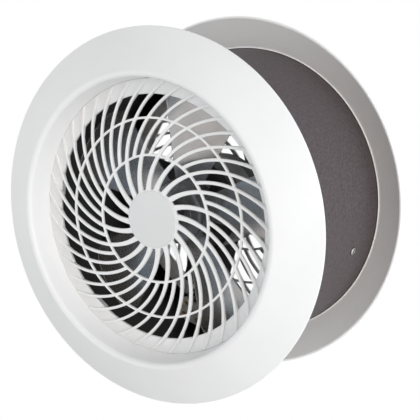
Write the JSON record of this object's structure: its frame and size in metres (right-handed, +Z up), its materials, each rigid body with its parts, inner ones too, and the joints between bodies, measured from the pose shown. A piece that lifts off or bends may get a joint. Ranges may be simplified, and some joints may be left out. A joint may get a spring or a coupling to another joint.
{
  "type": "through-wall axial exhaust fan",
  "caption": "Round through-wall exhaust fan: a dark tube between cone-shaped white wall flanges, each with a domed spiral-arm guard, and a bladed fan on a bracketed motor inside.",
  "frame": {"origin": "on the fan axis, midway between the two wall faces, which is the centre of the bounding box", "axes": "+Y along the fan axis from the room side to the outside, +Z up, +X to the right seen from the room"},
  "size_m": [0.34, 0.1884, 0.34],
  "materials": {
    "flange_white": "satin white moulding",
    "guard_white": "satin warm white moulding",
    "duct_paint": "satin brown-grey paint, fine texture",
    "bracket_paint": "satin black paint",
    "rivet_alloy": "painted over with the tube",
    "motor_black": "satin black enamel",
    "lamination": "varnished steel sheets",
    "copper_coil": "varnished copper wire",
    "cast_alloy": "as cast",
    "shaft_steel": "ground",
    "bearing_bronze": "sintered",
    "washer_fibre": "plain",
    "zinc_steel": "zinc plated",
    "fan_smoke": "gloss smoke grey",
    "nut_plastic": "satin",
    "capacitor_case": "satin",
    "block_white": "satin",
    "terminal_brass": "turned",
    "lead_sheath": "satin",
    "clip_plastic": "satin",
    "wire_sheath": "satin",
    "grommet_rubber": "matte"
  },
  "bodies": {
    "housing": {"front_flange": "flange_white", "rear_flange": "flange_white", "front_grille": "guard_white", "rear_grille": "guard_white", "duct_tube": "duct_paint", "motor_bracket": "bracket_paint", "bracket_rivets": "rivet_alloy", "motor_rear_shield": "motor_black", "motor_front_shield": "motor_black", "stator_core": "lamination", "stator_winding": "copper_coil", "rear_bearing": "bearing_bronze", "front_bearing": "bearing_bronze", "motor_tie_screws": "zinc_steel", "motor_tie_nuts": "zinc_steel", "run_capacitor": "capacitor_case", "capacitor_screw": "zinc_steel", "capacitor_nut": "zinc_steel", "terminal_block": "block_white", "terminal_screws": "terminal_brass", "block_screw": "zinc_steel", "block_nut": "zinc_steel", "motor_lead": "lead_sheath", "lead_clip": "clip_plastic", "capacitor_leads": "wire_sheath", "cable_grommet": "grommet_rubber"},
    "rotor": {"impeller": "fan_smoke", "impeller_nut": "nut_plastic", "drive_pin": "shaft_steel", "motor_shaft": "shaft_steel", "rotor_core": "lamination", "rotor_end_rings": "cast_alloy", "thrust_washers": "washer_fibre"}
  },
  "joints": [
    {"name": "fan_spin", "type": "hinge", "parent": "housing", "child": "rotor", "pos_m": [0, 0, 0], "axis": [0, -1, 0], "continuous": true}
  ]
}
